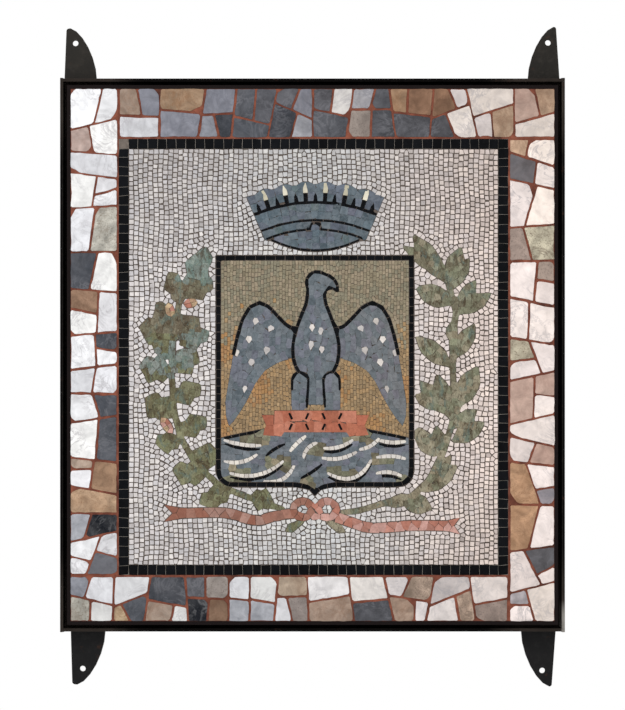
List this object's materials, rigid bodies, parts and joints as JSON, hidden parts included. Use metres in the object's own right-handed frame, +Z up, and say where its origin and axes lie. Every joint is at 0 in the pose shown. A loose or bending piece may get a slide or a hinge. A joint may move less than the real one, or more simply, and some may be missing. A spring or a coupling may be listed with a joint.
{
  "type": "mosaic wall panel",
  "caption": "Upright wall panel: a stone mosaic in a broken-marble border, bedded in mortar inside a steel angle frame with bolt lugs at the corners.",
  "frame": {"origin": "middle of the flat back face, where the panel lies against the wall", "axes": "+Z up the panel, +Y into the wall along the back face normal, +X to the right for a viewer of the mosaic face, which looks towards -Y"},
  "size_m": [1.04, 0.04, 1.3696],
  "materials": {
    "frame_steel": "black-brown paint and oxide on hot rolled angle, worn grey on the front edge",
    "lug_steel": "dull dark grey-brown mill scale with light scratches",
    "mortar": "cement mortar, red-brown in the joints of the face",
    "border_marble": "honed broken marble: white, grey, slate, pink, beige and ochre kinds",
    "black_marble": "honed black marble tesserae",
    "white_marble": "honed white marble tesserae with dark joints",
    "slate_marble": "honed blue-grey marble tesserae",
    "cream_marble": "honed cream marble tesserae",
    "ochre_marble": "honed tan to ochre marble tesserae",
    "red_marble": "honed brick-red marble tesserae",
    "green_marble": "honed mottled olive and grey-green marble tesserae"
  },
  "bodies": {
    "root": {"frame_left": "frame_steel", "frame_right": "frame_steel", "frame_top": "frame_steel", "frame_bottom": "frame_steel", "lug_top_left": "lug_steel", "lug_top_right": "lug_steel", "lug_bottom_left": "lug_steel", "lug_bottom_right": "lug_steel", "mortar_bed": "mortar", "marble_border_left": "border_marble", "marble_border_top": "border_marble", "marble_border_right": "border_marble", "marble_border_bottom": "border_marble", "black_line_left": "black_marble", "black_line_right": "black_marble", "black_line_top": "black_marble", "black_line_bottom": "black_marble", "crown_windows": "black_marble", "crown_line_middle": "black_marble", "crown_line_door": "black_marble", "crown_line_base": "black_marble", "shield_outline": "black_marble", "bird_outline": "black_marble", "white_ground": "white_marble", "crown_wall": "slate_marble", "bird_body": "slate_marble", "bird_wing_left": "slate_marble", "bird_wing_right": "slate_marble", "water": "slate_marble", "crown_merlon_1": "cream_marble", "crown_merlon_2": "cream_marble", "crown_merlon_3": "cream_marble", "crown_merlon_4": "cream_marble", "crown_merlon_5": "cream_marble", "crown_merlon_6": "cream_marble", "shield_field": "ochre_marble", "band": "red_marble", "ribbon_bow": "red_marble", "ribbon_left": "red_marble", "ribbon_right": "red_marble", "acorn_1": "red_marble", "acorn_2": "red_marble", "acorn_3": "red_marble", "oak_branch": "green_marble", "laurel_branch": "green_marble", "stem_end_left": "green_marble", "stem_end_right": "green_marble"}
  },
  "joints": []
}
